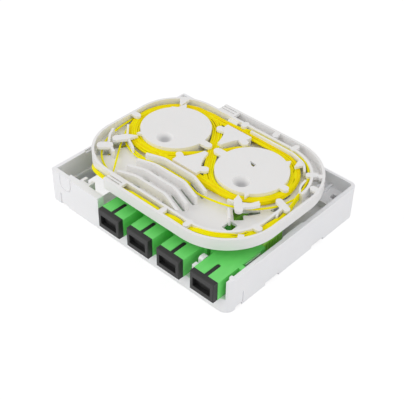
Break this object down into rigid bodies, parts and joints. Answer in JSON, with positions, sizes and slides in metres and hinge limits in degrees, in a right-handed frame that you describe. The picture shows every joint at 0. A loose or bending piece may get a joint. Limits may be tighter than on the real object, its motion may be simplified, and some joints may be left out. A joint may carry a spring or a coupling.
{
  "type": "fibre termination box",
  "caption": "Open wall-mount fibre termination box with a row of capped square ports and a hinged splice tray that stores coiled fibre.",
  "frame": {"origin": "middle of the whole part's footprint, on the wall plane behind the housing", "axes": "+X along the row of ports, +Y away from the port side, +Z out of the wall"},
  "size_m": [0.1054, 0.0894, 0.0265],
  "materials": {
    "housing_plastic": "moulded, fine satin, cool white",
    "tray_plastic": "moulded, satin, warm white",
    "adapter_plastic": "moulded, semi-gloss green",
    "sleeve_ceramic": "polished white ceramic",
    "clip_steel": "bright spring steel",
    "cap_plastic": "soft moulded black",
    "grip_plastic": "moulded, yellow-green",
    "core_plastic": "moulded, white",
    "boot_rubber": "flexible, green",
    "fibre_coating": "smooth yellow buffer coating"
  },
  "bodies": {
    "housing": {"adapter_1": "adapter_plastic", "adapter_2": "adapter_plastic", "adapter_3": "adapter_plastic", "adapter_4": "adapter_plastic", "alignment_sleeve_1": "sleeve_ceramic", "alignment_sleeve_2": "sleeve_ceramic", "alignment_sleeve_3": "sleeve_ceramic", "alignment_sleeve_4": "sleeve_ceramic", "housing": "housing_plastic", "plug_boot_1": "boot_rubber", "plug_boot_2": "boot_rubber", "plug_boot_3": "boot_rubber", "plug_boot_4": "boot_rubber", "plug_core_1": "core_plastic", "plug_core_2": "core_plastic", "plug_core_3": "core_plastic", "plug_core_4": "core_plastic", "plug_grip_1": "grip_plastic", "plug_grip_2": "grip_plastic", "plug_grip_3": "grip_plastic", "plug_grip_4": "grip_plastic", "spring_clip_1": "clip_steel", "spring_clip_2": "clip_steel", "spring_clip_3": "clip_steel", "spring_clip_4": "clip_steel"},
    "tray": {"splice_tray": "tray_plastic", "fibre_laps": "fibre_coating"},
    "cap_1": {"dust_cap_1": "cap_plastic"},
    "cap_2": {"dust_cap_2": "cap_plastic"},
    "cap_3": {"dust_cap_3": "cap_plastic"},
    "cap_4": {"dust_cap_4": "cap_plastic"}
  },
  "joints": [
    {"name": "tray_hinge", "type": "hinge", "parent": "housing", "child": "tray", "pos_m": [-0.0484, 0.002, 0.0192], "axis": [0, -1, 0], "range_deg": [0, 95]},
    {"name": "cap_1_pull", "type": "slide", "parent": "housing", "child": "cap_1", "axis": [0, -1, 0], "range_m": [0, 0.014]},
    {"name": "cap_2_pull", "type": "slide", "parent": "housing", "child": "cap_2", "axis": [0, -1, 0], "range_m": [0, 0.014]},
    {"name": "cap_3_pull", "type": "slide", "parent": "housing", "child": "cap_3", "axis": [0, -1, 0], "range_m": [0, 0.014]},
    {"name": "cap_4_pull", "type": "slide", "parent": "housing", "child": "cap_4", "axis": [0, -1, 0], "range_m": [0, 0.014]}
  ]
}
